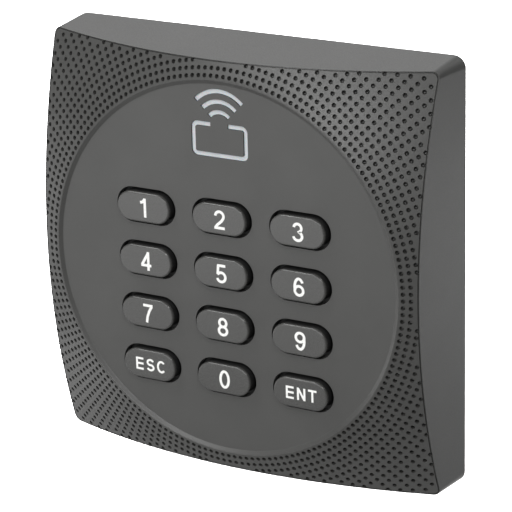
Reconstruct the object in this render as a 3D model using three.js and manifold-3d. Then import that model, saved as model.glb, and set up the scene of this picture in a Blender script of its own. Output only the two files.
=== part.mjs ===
// Wall-mounted RFID card reader with a twelve-key keypad.
// Millimetres, +Z up. The front faces -Y and the wall plane is y = 0, so the origin is the centre
// of the back. Every piece is drawn in a face frame (x right, y up, z = depth measured out from
// the wall), and one group turns that frame upright.

import * as THREE from 'three';
import { mergeVertices } from 'three/addons/utils/BufferGeometryUtils.js';
import Module from 'manifold-3d';

const wasm = await Module();
wasm.setup();

// ---- driving dimensions -------------------------------------------------------------------
const HALF_WIDTH = 59;            // half of the square body at the wall
const DRAFT = 0.0834;             // inward lean of the side walls for each mm of depth
const CORNER_RADIUS_BACK = 3.4;   // upright corner edges, at the wall
const CORNER_RADIUS_FRONT = 0.6;  // the same edges at BODY_DEPTH
const BODY_DEPTH = 26;            // depth of the block that the dome is cut from
const DOME_PEAK = 33.79;          // depth the dome would reach on its axis
const DOME_CURVE = 0.00312;       // fall of the dome for each mm of radius squared
const DISC_DEPTH = 24.7;          // flat round face that holds the keys
const DISC_RADIUS = 50.8;
const RIM_RADIUS = 52.05;         // where the dome starts, outside the sloped band
const SKIN = 2.2;                 // thickness of the dome and disc
const WALL = 2.4;                 // thickness of the side walls
const CONTACT_GAP = 0.15;         // glue lines, seats and threads
const FIT_GAP = 0.3;              // clearance between loose neighbours

const KEY_PITCH_X = 23.4;
const KEY_PITCH_Y = 15;
const TOP_ROW_Y = 14.7;
const OPENING_WIDTH = 18.2;
const OPENING_HEIGHT = 9.85;
const CAP_WIDTH = 16.2;
const CAP_HEIGHT = 8.2;
const CAP_THICKNESS = 0.9;
const CAP_ROUND = 0.4;
const KEY_PROUD = 1.7;            // key tops above the disc
const KEY_TRAVEL = 1;

const BOARD_FRONT = 18.4;
const BOARD_THICKNESS = 1.6;
const BOARD_HALF = 44;
const BOARD_CORNER_CUT = 14;
const BOARD_POST_X = 39.3;
const BOARD_POST_Y = 14;

const MAT_THICKNESS = 1.2;
const MAT_HALF_WIDTH = 34.5;
const MAT_TOP = 21.5;
const MAT_BOTTOM = -36.5;
const MAT_CORNER_CUT = 4;

const REAR_COVER_BACK = 6;
const REAR_COVER_THICKNESS = 2;
const REAR_COVER_HALF = 55.5;
const BOSS_OFFSET = 46;           // corner screw bosses, from both centre lines
const BOSS_RADIUS = 3.5;

const PLATE_THICKNESS = 1.5;
const PLATE_HALF = 52;
const FIXING_PITCH = 60.3;        // wall box screw spacing
const CABLE_Y = 14;               // height of the cable outlet
const CABLE_BORE = 3.5;

const SYMBOL_Y = 40;              // centre of the card-and-waves symbol
const SYMBOL_STROKE = 1.3;
const SYMBOL_RECESS = 0.4;

const HOOK_X = 30;
const SECURITY_SCREW_DEPTH = 3.4;

const KEY_ROWS = [
  ['1', '2', '3'],
  ['4', '5', '6'],
  ['7', '8', '9'],
  ['esc', '0', 'ent'],
];

// ---- materials ----------------------------------------------------------------------------
const MATERIALS = {
  casePlastic: { color: 0x565654, roughness: 0.62, metalness: 0 },
  capPlastic: { color: 0x5d5d5c, roughness: 0.5, metalness: 0 },
  rearPlastic: { color: 0x2e2f30, roughness: 0.7, metalness: 0 },
  blackRubber: { color: 0x101111, roughness: 0.8, metalness: 0 },
  carbon: { color: 0x1b1b1c, roughness: 0.9, metalness: 0 },
  boardGreen: { color: 0x1e5a3a, roughness: 0.5, metalness: 0 },
  copper: { color: 0xb5673a, roughness: 0.35, metalness: 0.9 },
  lightGuide: { color: 0xb9bccb, roughness: 0.3, metalness: 0 },
  ledPackage: { color: 0xe8e6d8, roughness: 0.4, metalness: 0 },
  chipBlack: { color: 0x17181a, roughness: 0.55, metalness: 0 },
  connector: { color: 0xd9d6cb, roughness: 0.5, metalness: 0 },
  zincSteel: { color: 0xa9abae, roughness: 0.4, metalness: 0.9 },
};

// ---- solid helpers ------------------------------------------------------------------------
function toSolid(geometry) {
  const plain = geometry.clone();
  plain.deleteAttribute('normal');
  plain.deleteAttribute('uv');
  const merged = mergeVertices(plain, 1e-4);
  const mesh = new wasm.Mesh({
    numProp: 3,
    vertProperties: new Float32Array(merged.attributes.position.array),
    triVerts: new Uint32Array(merged.index.array),
  });
  return new wasm.Manifold(mesh);
}

function toGeometry(solid) {
  const mesh = solid.getMesh();
  const geometry = new THREE.BufferGeometry();
  geometry.setAttribute('position', new THREE.BufferAttribute(mesh.vertProperties, 3));
  geometry.setIndex(new THREE.BufferAttribute(mesh.triVerts, 1));
  const faceted = geometry.toNonIndexed();
  faceted.computeVertexNormals();
  return faceted;
}

function combine(base, added, removed) {
  let solid = toSolid(base);
  for (const geometry of added) {
    solid = solid.add(toSolid(geometry));
  }
  for (const geometry of removed) {
    solid = solid.subtract(toSolid(geometry));
  }
  return toGeometry(solid);
}

// ---- outlines and simple solids in the face frame -----------------------------------------
function roundedRect(width, height, radius) {
  const x = width / 2 - radius;
  const y = height / 2 - radius;
  const shape = new THREE.Shape();
  shape.absarc(x, -y, radius, -Math.PI / 2, 0);
  shape.absarc(x, y, radius, 0, Math.PI / 2);
  shape.absarc(-x, y, radius, Math.PI / 2, Math.PI);
  shape.absarc(-x, -y, radius, Math.PI, Math.PI * 1.5);
  shape.closePath();
  return shape;
}

function stadium(width, height, x = 0, y = 0, path = new THREE.Shape()) {
  const radius = height / 2;
  const reach = width / 2 - radius;
  path.absarc(x + reach, y, radius, -Math.PI / 2, Math.PI / 2);
  path.absarc(x - reach, y, radius, Math.PI / 2, Math.PI * 1.5);
  path.closePath();
  return path;
}

function polygon(points) {
  return new THREE.Shape(points.map(([x, y]) => new THREE.Vector2(x, y)));
}

function slab(shape, from, to, segments = 3) {
  const options = { depth: to - from, bevelEnabled: false, curveSegments: segments };
  return new THREE.ExtrudeGeometry(shape, options).translate(0, 0, from);
}

function block(x0, x1, y0, y1, from, to) {
  const box = new THREE.BoxGeometry(x1 - x0, y1 - y0, to - from);
  return box.translate((x0 + x1) / 2, (y0 + y1) / 2, (from + to) / 2);
}

function rod(radius, from, to, x = 0, y = 0, segments = 20) {
  const cylinder = new THREE.CylinderGeometry(radius, radius, to - from, segments);
  return cylinder.rotateX(Math.PI / 2).translate(x, y, (from + to) / 2);
}

function turned(profile, segments) {
  const points = profile.map(([radius, depth]) => new THREE.Vector2(radius, depth));
  return new THREE.LatheGeometry(points, segments).rotateX(Math.PI / 2);
}

// A square block with leaning sides, whose corner radius changes with depth.
function draftedBlock(inset, from, to) {
  const sectionPoints = (depth) => {
    const half = HALF_WIDTH - inset - DRAFT * depth;
    const share = depth / BODY_DEPTH;
    const outer = THREE.MathUtils.lerp(CORNER_RADIUS_BACK, CORNER_RADIUS_FRONT, share);
    const radius = Math.max(outer - inset, 0.5);
    return roundedRect(2 * half, 2 * half, radius).getPoints(3).slice(0, -1);
  };
  const back = sectionPoints(from);
  const front = sectionPoints(to);
  const count = back.length;
  const positions = [];
  for (const [points, depth] of [[back, from], [front, to]]) {
    points.forEach((point) => positions.push(point.x, point.y, depth));
    positions.push(0, 0, depth);
  }
  const index = [];
  const backCentre = count;
  const frontStart = count + 1;
  const frontCentre = frontStart + count;
  for (let i = 0; i < count; i += 1) {
    const next = (i + 1) % count;
    index.push(i, next, frontStart + next);
    index.push(i, frontStart + next, frontStart + i);
    index.push(next, i, backCentre);
    index.push(frontStart + i, frontStart + next, frontCentre);
  }
  const geometry = new THREE.BufferGeometry();
  geometry.setAttribute('position', new THREE.Float32BufferAttribute(positions, 3));
  geometry.setIndex(index);
  return geometry;
}

function domeDepth(radius) {
  return DOME_PEAK - DOME_CURVE * radius * radius;
}

// ---- the symbol: a card with its top side open and three radio waves above it ---------------
function cardOutline(stroke) {
  const halfWidth = 8.5;
  const bottom = SYMBOL_Y - 9;
  const top = SYMBOL_Y + 0.5;
  const gap = 2.6;
  const radius = 1.8;
  const side = (inset, reverse) => {
    const x = halfWidth - inset;
    const arc = radius - inset;
    const cx = x - arc;
    const low = bottom + inset + arc;
    const high = top - inset - arc;
    const path = new THREE.Path();
    path.moveTo(-gap, top - inset);
    path.lineTo(-cx, top - inset);
    path.absarc(-cx, high, arc, Math.PI / 2, Math.PI);
    path.absarc(-cx, low, arc, Math.PI, Math.PI * 1.5);
    path.absarc(cx, low, arc, -Math.PI / 2, 0);
    path.absarc(cx, high, arc, 0, Math.PI / 2);
    path.lineTo(gap, top - inset);
    const points = path.getPoints(2);
    return reverse ? points.reverse() : points;
  };
  const grow = (SYMBOL_STROKE - stroke) / 2;
  return new THREE.Shape([...side(grow, false), ...side(SYMBOL_STROKE - grow, true)]);
}

function waveOutline(radius, stroke) {
  const spread = Math.PI / 4;
  const from = Math.PI / 2 - spread;
  const to = Math.PI / 2 + spread;
  const centreY = SYMBOL_Y - 0.8;
  const shape = new THREE.Shape();
  shape.absarc(0, centreY, radius + stroke / 2, from, to, false);
  shape.absarc(0, centreY, radius - stroke / 2, to, from, true);
  shape.closePath();
  return shape;
}

function symbolSlabs(stroke, from, to) {
  const waves = [4.2, 7, 9.8].map((radius) => slab(waveOutline(radius, stroke), from, to, 4));
  return [slab(cardOutline(stroke), from, to), ...waves];
}

// ---- key places ---------------------------------------------------------------------------
const keyPlaces = KEY_ROWS.flatMap((row, rowIndex) => row.map((label, column) => ({
  label,
  x: (column - 1) * KEY_PITCH_X,
  y: TOP_ROW_Y - rowIndex * KEY_PITCH_Y,
})));

const corners = [[1, 1], [-1, 1], [-1, -1], [1, -1]];

// ---- outer pieces -------------------------------------------------------------------------
const LEDGE_BACK = 9.5;
const MAT_FRONT = BOARD_FRONT + CONTACT_GAP + MAT_THICKNESS;
const DISC_INNER = DISC_DEPTH - SKIN;
const INNER_FLAT_RADIUS = Math.sqrt((DOME_PEAK - SKIN - DISC_INNER) / DOME_CURVE);

function matOutline(grow) {
  const x = MAT_HALF_WIDTH + grow;
  const top = MAT_TOP + grow;
  const bottom = MAT_BOTTOM - grow;
  const cut = MAT_CORNER_CUT;
  return polygon([
    [-x + cut, bottom], [x - cut, bottom], [x, bottom + cut], [x, top], [-x, top], [-x, bottom + cut],
  ]);
}

function frontCover() {
  const outerRadius = 88;
  const domeRings = 6;
  const outer = [[0, -1], [outerRadius, -1]];
  for (let i = 0; i <= domeRings; i += 1) {
    const radius = THREE.MathUtils.lerp(outerRadius, RIM_RADIUS, i / domeRings);
    outer.push([radius, domeDepth(radius)]);
  }
  outer.push([DISC_RADIUS, DISC_DEPTH], [0, DISC_DEPTH]);
  const body = toSolid(draftedBlock(0, 0, BODY_DEPTH)).intersect(toSolid(turned(outer, 96)));

  const innerRings = 3;
  const inner = [[0, -2], [outerRadius, -2]];
  for (let i = 0; i <= innerRings; i += 1) {
    const radius = THREE.MathUtils.lerp(outerRadius, INNER_FLAT_RADIUS, i / innerRings);
    inner.push([radius, domeDepth(radius) - SKIN]);
  }
  inner.push([0, DISC_INNER]);
  const hollow = toSolid(draftedBlock(WALL, -1, BODY_DEPTH)).intersect(toSolid(turned(inner, 48)));

  // The fittings are left standing when the hollow is cut, so they never break through the skin.
  const reach = DISC_INNER + 1;
  const inside = [];
  for (const [sx, sy] of corners) {
    inside.push(rod(BOSS_RADIUS, REAR_COVER_BACK + REAR_COVER_THICKNESS + CONTACT_GAP, reach,
      sx * BOSS_OFFSET, sy * BOSS_OFFSET));
    inside.push(rod(2.5, BOARD_FRONT + CONTACT_GAP, reach, sx * BOARD_POST_X, sy * BOARD_POST_Y));
  }
  const rib = toSolid(slab(matOutline(0.9), MAT_FRONT + CONTACT_GAP, reach))
    .subtract(toSolid(slab(matOutline(-0.3), MAT_FRONT - 1, reach + 1)));
  const ledgeWidth = 2.6;
  const ledge = toSolid(slab(roundedRect(2 * HALF_WIDTH, 2 * HALF_WIDTH, 3), LEDGE_BACK, LEDGE_BACK + 2))
    .subtract(toSolid(draftedBlock(WALL + ledgeWidth, LEDGE_BACK - 1, LEDGE_BACK + 3)));
  let fittings = rib.add(ledge);
  for (const geometry of inside) {
    fittings = fittings.add(toSolid(geometry));
  }
  for (const side of [-1, 1]) {
    const hookCatch = block(side * HOOK_X - 5, side * HOOK_X + 5, 53.8, HALF_WIDTH, 1.9, 3.3);
    fittings = fittings.add(toSolid(hookCatch));
  }
  fittings = fittings.add(toSolid(block(-6, 6, -HALF_WIDTH, -53.2, 0.4, REAR_COVER_BACK - FIT_GAP)));
  let cover = body.subtract(hollow.subtract(fittings));

  const openings = keyPlaces.map(({ x, y }) =>
    slab(stadium(OPENING_WIDTH, OPENING_HEIGHT), DISC_INNER - 1, DISC_DEPTH + 1, 6).translate(x, y, 0));
  const pilots = corners.flatMap(([sx, sy]) => [
    rod(1.55, 4, 15, sx * BOSS_OFFSET, sy * BOSS_OFFSET, 16),
    rod(1, BOARD_FRONT - 1, DISC_INNER - 0.5, sx * BOARD_POST_X, sy * BOARD_POST_Y, 12),
  ]);
  const screwHole = rod(1.75, 50, 60, 0, 0, 16);
  const counterbore = rod(3, 56.7, 60);
  const fromBelow = [screwHole, counterbore].map((geometry) =>
    geometry.rotateX(Math.PI / 2).translate(0, 0, SECURITY_SCREW_DEPTH));
  const pryNotch = block(56, 60, 29.2, 30.3, -1, 0.8);
  const symbol = symbolSlabs(SYMBOL_STROKE, DISC_INNER - 1, DISC_DEPTH + 1);
  for (const geometry of [...openings, ...pilots, ...fromBelow, ...symbol, pryNotch]) {
    cover = cover.subtract(toSolid(geometry));
  }
  return toGeometry(cover);
}

function rearCover() {
  const front = REAR_COVER_BACK + REAR_COVER_THICKNESS;
  const size = 2 * REAR_COVER_HALF;
  const plate = slab(roundedRect(size, size, 2), REAR_COVER_BACK, front);
  const screwHoles = corners.map(([sx, sy]) =>
    rod(1.7, REAR_COVER_BACK - 1, front + 1, sx * BOSS_OFFSET, sy * BOSS_OFFSET, 16));
  const cableHole = rod(6.3, REAR_COVER_BACK - 1, front + 1, 0, CABLE_Y, 32);
  const sensorWindow = rod(2.2, REAR_COVER_BACK - 1, front + 1, TAMPER_X, TAMPER_Y, 16);
  return combine(plate, [], [...screwHoles, cableHole, sensorWindow]);
}

// Bent steel plate that is screwed to the wall. Two hooks hold the cover's top wall, and a tab at
// the bottom takes the security screw.
function wallPlate() {
  const size = 2 * PLATE_HALF;
  const plate = slab(roundedRect(size, size, 4), 0, PLATE_THICKNESS);
  const bent = [];
  for (const side of [-1, 1]) {
    const x0 = side * HOOK_X - 4;
    const x1 = side * HOOK_X + 4;
    bent.push(block(x0, x1, PLATE_HALF - 1.2, PLATE_HALF, PLATE_THICKNESS - 0.5, 4.8));
    bent.push(block(x0, x1, PLATE_HALF - 1.2, 55.4, 3.6, 4.8));
  }
  bent.push(block(-5, 5, -PLATE_HALF, -PLATE_HALF + 1.5, PLATE_THICKNESS - 0.5, 5.6));
  const holes = [rod(9.5, -1, 3, 0, CABLE_Y, 36)];
  const slot = stadium(9, 4.4);
  for (const side of [-1, 1]) {
    holes.push(slab(slot, -1, 3).translate(side * FIXING_PITCH / 2, 0, 0));
    holes.push(slab(slot, -1, 3).rotateZ(Math.PI / 2).translate(0, side * FIXING_PITCH / 2, 0));
  }
  for (const [sx, sy] of corners) {
    holes.push(rod(2.2, -1, 3, sx * 42, sy * 42, 16));
  }
  const tapped = rod(1.75, 49, 54, 0, 0, 16);
  holes.push(tapped.rotateX(Math.PI / 2).translate(0, 0, SECURITY_SCREW_DEPTH));
  return combine(plate, bent, holes);
}

function sealGasket() {
  const from = REAR_COVER_BACK + REAR_COVER_THICKNESS + CONTACT_GAP;
  const outer = 2 * (REAR_COVER_HALF - 0.4);
  const inner = outer - 2 * 2.1;
  const shape = roundedRect(outer, outer, 2);
  shape.holes.push(roundedRect(inner, inner, 1));
  return slab(shape, from, LEDGE_BACK - CONTACT_GAP);
}

function cableGrommet() {
  const back = REAR_COVER_BACK - CONTACT_GAP;
  const front = REAR_COVER_BACK + REAR_COVER_THICKNESS + CONTACT_GAP;
  const lip = 1.2;
  const profile = [
    [CABLE_BORE, back - lip], [8.5, back - lip], [8.5, back], [6, back],
    [6, front], [8.5, front], [8.5, front + lip], [CABLE_BORE, front + lip], [CABLE_BORE, back - lip],
  ];
  return turned(profile, 32).translate(0, CABLE_Y, 0);
}

// ---- electronics --------------------------------------------------------------------------
const BOARD_BACK = BOARD_FRONT - BOARD_THICKNESS;
const TAMPER_X = -24;
const TAMPER_Y = -26;

function circuitBoard() {
  const h = BOARD_HALF;
  const c = BOARD_HALF - BOARD_CORNER_CUT;
  const outline = polygon([[-c, -h], [c, -h], [h, -c], [h, c], [c, h], [-c, h], [-h, c], [-h, -c]]);
  for (const [sx, sy] of corners) {
    const hole = new THREE.Path();
    hole.absarc(sx * BOARD_POST_X, sy * BOARD_POST_Y, 1.2, 0, Math.PI * 2);
    outline.holes.push(hole);
  }
  return slab(outline, BOARD_BACK, BOARD_FRONT, 6);
}

function antennaCoil() {
  const back = BOARD_FRONT + FIT_GAP;
  const front = back + 2.3;
  const profile = [[49.4, back], [52.2, back], [52.2, front], [49.4, front], [49.4, back]];
  return turned(profile, 72);
}

function symbolLightGuide() {
  const front = DISC_INNER - CONTACT_GAP;
  const plate = slab(roundedRect(20.5, 22, 1.5), front - 1.2, front).translate(0, SYMBOL_Y, 0);
  const stroke = SYMBOL_STROKE - 0.2;
  return combine(plate, symbolSlabs(stroke, front - 0.5, DISC_DEPTH - SYMBOL_RECESS), []);
}

function symbolLed() {
  const back = BOARD_FRONT + CONTACT_GAP;
  const packageBody = block(-2.5, 2.5, 35.5, 40.5, back, back + 1.6);
  return combine(packageBody, [], [rod(1.8, back + 1.2, back + 2, 0, 38, 24)]);
}

// A moulded chip with a row of legs along two sides, cut as one solid.
function chip(width, height, thickness, legs) {
  const front = BOARD_BACK - CONTACT_GAP;
  const body = block(-width / 2, width / 2, -height / 2, height / 2, front - thickness, front - 0.1);
  const pitch = 1.27;
  const rows = [];
  for (let i = 0; i < legs; i += 1) {
    const x = (i - (legs - 1) / 2) * pitch;
    rows.push(block(x - 0.25, x + 0.25, -height / 2 - 1, height / 2 + 1, front - 0.5, front));
  }
  const lid = front - thickness;
  const dot = rod(0.6, lid - 1, lid + 0.15, -width / 2 + 1.4, height / 2 - 1.4, 12);
  return combine(body, rows, [dot]);
}

function buzzer() {
  const front = BOARD_BACK - CONTACT_GAP;
  const profile = [
    [0, front - 6], [1.2, front - 6], [1.2, front - 6.5], [5.5, front - 6.5],
    [6, front - 6], [6, front], [0, front],
  ];
  return turned(profile, 32);
}

// Eight-way screw terminal: a housing with one clamp well and one wire mouth for each way.
function terminalHeader() {
  const front = BOARD_BACK - CONTACT_GAP;
  const ways = 8;
  const pitch = 3.5;
  const half = ways * pitch / 2;
  const housing = block(-half, half, -3.5, 3.5, front - 7.5, front);
  const wells = [];
  for (let i = 0; i < ways; i += 1) {
    const x = (i - (ways - 1) / 2) * pitch;
    wells.push(rod(1.2, front - 8, front - 5, x, 1.2, 12));
    wells.push(block(x - 1.2, x + 1.2, -4, -1.5, front - 6.2, front - 3.4));
  }
  return combine(housing, [], wells);
}

function tamperSensor() {
  const front = BOARD_BACK - CONTACT_GAP;
  return combine(rod(2.4, front - 1, front, 0, 0, 24), [rod(1.6, front - 6, front - 0.5, 0, 0, 24)], []);
}

function panScrew(headRadius, headHeight, shankRadius, length, slotWidth) {
  const profile = [
    [0, 0], [headRadius * 0.75, 0], [headRadius, headHeight * 0.45], [headRadius, headHeight],
    [shankRadius, headHeight], [shankRadius, length - shankRadius], [0, length],
  ];
  const recess = headHeight * 0.6;
  const arm = headRadius * 0.6;
  return combine(turned(profile, 16), [], [
    block(-arm, arm, -slotWidth / 2, slotWidth / 2, -1, recess),
    block(-slotWidth / 2, slotWidth / 2, -arm, arm, -1, recess),
  ]);
}

// ---- keys ---------------------------------------------------------------------------------
const CAP_FRONT = DISC_DEPTH + KEY_PROUD;
const CAP_BACK = CAP_FRONT - CAP_THICKNESS;
const PILL_BACK = BOARD_FRONT + KEY_TRAVEL + 0.1;
const PILL_THICKNESS = 0.4;
const PLUNGER_BACK = PILL_BACK + PILL_THICKNESS + CONTACT_GAP;

function keypadMat() {
  const outline = matOutline(-0.6);
  for (const { x, y } of keyPlaces) {
    outline.holes.push(stadium(CAP_WIDTH + 0.8, CAP_HEIGHT + 0.8, x, y, new THREE.Path()));
  }
  return slab(outline, BOARD_FRONT + CONTACT_GAP, MAT_FRONT, 4);
}

function keyCap() {
  const options = {
    depth: CAP_THICKNESS - CAP_ROUND,
    bevelThickness: CAP_ROUND,
    bevelSize: CAP_ROUND,
    bevelOffset: -CAP_ROUND,
    bevelSegments: 2,
    curveSegments: 5,
  };
  const outline = stadium(CAP_WIDTH, CAP_HEIGHT);
  const rounded = new THREE.ExtrudeGeometry(outline, options).translate(0, 0, CAP_BACK);
  const below = block(-CAP_WIDTH, CAP_WIDTH, -CAP_HEIGHT, CAP_HEIGHT, CAP_BACK - 2, CAP_BACK);
  return combine(rounded, [], [below]);
}

function keyPlunger() {
  const flangeFront = DISC_INNER - 0.25;
  const stem = slab(stadium(CAP_WIDTH - 0.3, CAP_HEIGHT - 0.3), PLUNGER_BACK, CAP_BACK - CONTACT_GAP, 5);
  const flange = slab(stadium(OPENING_WIDTH + 1.2, OPENING_HEIGHT + 1.2), flangeFront - 1.1, flangeFront, 5);
  return combine(stem, [flange], []);
}

function contactPill() {
  return rod(2.5, PILL_BACK, PILL_BACK + PILL_THICKNESS, 0, 0, 16);
}

// ---- scene graph --------------------------------------------------------------------------
const reader = new THREE.Group();
const face = new THREE.Group();
face.rotation.x = Math.PI / 2;
reader.add(face);

function place(name, geometry, material, x = 0, y = 0, z = 0) {
  const mesh = new THREE.Mesh(geometry, new THREE.MeshStandardMaterial(MATERIALS[material]));
  mesh.name = name;
  mesh.position.set(x, y, z);
  face.add(mesh);
  return mesh;
}

place('front_cover', frontCover(), 'casePlastic');
place('rear_cover', rearCover(), 'rearPlastic');
place('wall_plate', wallPlate(), 'zincSteel');
place('seal_gasket', sealGasket(), 'blackRubber');
place('cable_grommet', cableGrommet(), 'blackRubber');

place('circuit_board', circuitBoard(), 'boardGreen');
place('antenna_coil', antennaCoil(), 'copper');
place('symbol_light_guide', symbolLightGuide(), 'lightGuide');
place('symbol_led', symbolLed(), 'ledPackage');
place('controller_chip', chip(12, 9, 1.8, 8), 'chipBlack', 14, -16);
place('reader_chip', chip(9.5, 7.5, 1.6, 6), 'chipBlack', 22, 12);
place('buzzer', buzzer(), 'chipBlack', -20, 12);
place('terminal_header', terminalHeader(), 'connector', 0, -34);
place('tamper_sensor', tamperSensor(), 'chipBlack', TAMPER_X, TAMPER_Y);

corners.forEach(([sx, sy], i) => {
  const rearScrewBack = REAR_COVER_BACK - CONTACT_GAP - 1.7;
  place(`rear_screw_${i + 1}`, panScrew(2.8, 1.7, 1.4, 9.5, 0.7), 'zincSteel',
    sx * BOSS_OFFSET, sy * BOSS_OFFSET, rearScrewBack);
  const boardScrewBack = BOARD_BACK - CONTACT_GAP - 1.3;
  place(`board_screw_${i + 1}`, panScrew(2, 1.3, 0.85, 6, 0.5), 'zincSteel',
    sx * BOARD_POST_X, sy * BOARD_POST_Y, boardScrewBack);
});

const securityScrew = place('security_screw', panScrew(2.7, 1.5, 1.5, 9, 0.7), 'zincSteel',
  0, -58.3, SECURITY_SCREW_DEPTH);
securityScrew.rotation.x = -Math.PI / 2;

place('keypad_mat', keypadMat(), 'blackRubber');
const cap = keyCap();
const plunger = keyPlunger();
const pill = contactPill();
for (const { label, x, y } of keyPlaces) {
  place(`key_cap_${label}`, cap, 'capPlastic', x, y);
  place(`key_plunger_${label}`, plunger, 'blackRubber', x, y);
  place(`contact_pill_${label}`, pill, 'carbon', x, y);
}

export default reader;
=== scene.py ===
"""Looks for a wall-mounted RFID card reader with a twelve-key keypad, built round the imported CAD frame.

Shapes are drawn in the reader's face frame: x to the right, y up, and depth measured out from the
wall, all in millimetres. point() turns that into the shared frame, in metres.
"""
import math

import bmesh
import bpy
import numpy as np
from mathutils import Matrix, Vector


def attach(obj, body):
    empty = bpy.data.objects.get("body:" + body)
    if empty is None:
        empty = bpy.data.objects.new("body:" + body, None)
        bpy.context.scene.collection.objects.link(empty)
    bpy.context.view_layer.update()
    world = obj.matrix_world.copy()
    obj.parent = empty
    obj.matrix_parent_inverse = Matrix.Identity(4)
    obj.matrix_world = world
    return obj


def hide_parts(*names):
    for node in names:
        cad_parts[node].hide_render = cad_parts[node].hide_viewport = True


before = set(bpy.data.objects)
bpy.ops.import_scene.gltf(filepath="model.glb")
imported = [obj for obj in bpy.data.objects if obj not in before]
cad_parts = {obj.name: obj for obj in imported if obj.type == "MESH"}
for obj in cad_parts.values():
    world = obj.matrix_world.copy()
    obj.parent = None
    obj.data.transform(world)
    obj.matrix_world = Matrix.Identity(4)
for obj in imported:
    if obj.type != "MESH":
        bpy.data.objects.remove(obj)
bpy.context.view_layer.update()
MM = 0.001

# ---- driving dimensions, in millimetres, as in the CAD model ------------------------------------
HALF_WIDTH = 59.0
DRAFT = 0.0834
CORNER_BACK = 3.4
CORNER_FRONT = 0.6
BODY_DEPTH = 26.0
DOME_PEAK = 33.79
DOME_CURVE = 0.00312
DISC_DEPTH = 24.7
DISC_RADIUS = 50.8
RIM_RADIUS = 52.05
SKIN = 2.2
WALL = 2.4
DISC_INNER = DISC_DEPTH - SKIN

KEY_PITCH_X = 23.4
KEY_PITCH_Y = 15.0
TOP_ROW_Y = 14.7
OPENING = (18.2, 9.85)
CAP = (16.2, 8.2)
CAP_FRONT = DISC_DEPTH + 1.7
CAP_THICKNESS = 0.9
CAP_TOP = CAP_FRONT - 0.03          # the printed legend stands just in front of the cap
LEGEND_BACK = CAP_FRONT - 0.08
LEGEND_FRONT = CAP_FRONT - 0.005
LEGEND_SHIFT = 0.3
KEY_ROWS = (("1", "2", "3"), ("4", "5", "6"), ("7", "8", "9"), ("esc", "0", "ent"))

BAND_EASE = 0.2           # share of the sloped band's width that curves, at each end
CREASE_INSET = 0.4        # inner side of the channel along the edge of the dome
CREASE_DEPTH = 0.42
REAR_EDGE = 0.35          # depth at which the rounding of the rear edge ends
MOUTH_CHAMFER = 0.06      # where the key openings meet the disc

PIT_RADIUS = 0.6
PIT_DEPTH = 1.25
PIT_MARGIN = 0.5          # from a dimple's centre to the side wall
PIT_PITCH = 1.92          # from ring to ring
PITS_PER_RING = 180
FIRST_PIT_RING = 53.15
LAST_PIT_RING = 82.0

SYMBOL_Y = 40.0
SYMBOL_STROKE = 1.3
SYMBOL_RECESS = 0.4

# each pair named DEPTHS is a back and a front
BOSS = 46.0               # corner screw bosses, from both centre lines
BOSS_RADIUS = 3.5
BOSS_BACK = 8.15
BOSS_BORE_RADIUS = 1.55
BOSS_BORE_DEPTHS = (4, 15)
POST = (39.3, 14.0)       # board posts, from the centre lines
POST_RADIUS = 2.5
POST_BACK = 18.55
POST_BORE_RADIUS = 1.0
POST_BORE_DEPTHS = (17, DISC_INNER - 0.5)
MAT_CENTRE = (0, -7.5)
MAT_RIB_OUTER = (70.8, 59.8)
MAT_RIB_INNER = (68.4, 57.4)
MAT_RIB_BACK = 19.9
LEDGE_DEPTHS = (9.5, 11.5)
CATCH = (10, 5.2)         # thick spots in the top wall, which hang on the plate's hooks
CATCH_PLACE = (30, 56.4)
CATCH_DEPTHS = (1.9, 3.3)
SCREW_PAD = (12, 5.8)     # thick spot in the bottom wall, for the security screw
SCREW_PAD_PLACE = (0, -56.1)
SCREW_PAD_DEPTHS = (0.4, 5.7)
SECURITY_SCREW_DEPTH = 3.4
PRY_NOTCH = (3, 1.1)
PRY_NOTCH_PLACE = (59.4, 29.75)
PRY_NOTCH_DEPTHS = (0.16, 0.85)
SIGNS = ((1, 1), (-1, 1), (-1, -1), (1, -1))


def key_places():
    """The label and centre of each key."""
    for row, labels in enumerate(KEY_ROWS):
        for column, label in enumerate(labels):
            yield label, (column - 1) * KEY_PITCH_X, TOP_ROW_Y - row * KEY_PITCH_Y


def dome_depth(radius):
    return DOME_PEAK - DOME_CURVE * radius * radius


# ---- camera -------------------------------------------------------------------------------------
VIEW_AZIMUTH = 30.38      # degrees, towards the reader's right
VIEW_ELEVATION = 19.23
VIEW_ROLL = -1.54
VIEW_DISTANCE = 0.6775    # metres
VIEW_RIGHT = -0.0037      # moves of the camera in its own plane, in metres
VIEW_UP = -0.00345


def add_camera():
    """The main view, from the reader's right and a little above, with a long lens."""
    azimuth, elevation, roll = (math.radians(a) for a in (VIEW_AZIMUTH, VIEW_ELEVATION, VIEW_ROLL))
    back = Vector((
        math.sin(azimuth) * math.cos(elevation),
        -math.cos(azimuth) * math.cos(elevation),
        math.sin(elevation),
    ))
    level = Vector((0, 0, 1)).cross(back).normalized()
    upright = back.cross(level)
    right = math.cos(roll) * level + math.sin(roll) * upright
    up = math.cos(roll) * upright - math.sin(roll) * level
    data = bpy.data.cameras.new("camera")
    data.sensor_width = 36.0
    data.lens = 175.0
    camera = bpy.data.objects.new("camera", data)
    place = VIEW_DISTANCE * back + VIEW_RIGHT * right + VIEW_UP * up
    turn = Matrix((right, up, back)).transposed().to_4x4()
    camera.matrix_world = Matrix.Translation(place) @ turn
    bpy.context.scene.collection.objects.link(camera)
    bpy.context.scene.camera = camera


# ---- meshes -------------------------------------------------------------------------------------
def point(x, y, depth):
    return (x * MM, -depth * MM, y * MM)


def add_mesh(name, points, faces):
    """A mesh object from points in the face frame."""
    mesh = bpy.data.meshes.new(name)
    mesh.from_pydata([point(*p) for p in points], [], faces)
    mesh.validate()
    piece = bpy.data.objects.new(name, mesh)
    bpy.context.scene.collection.objects.link(piece)
    return piece


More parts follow.
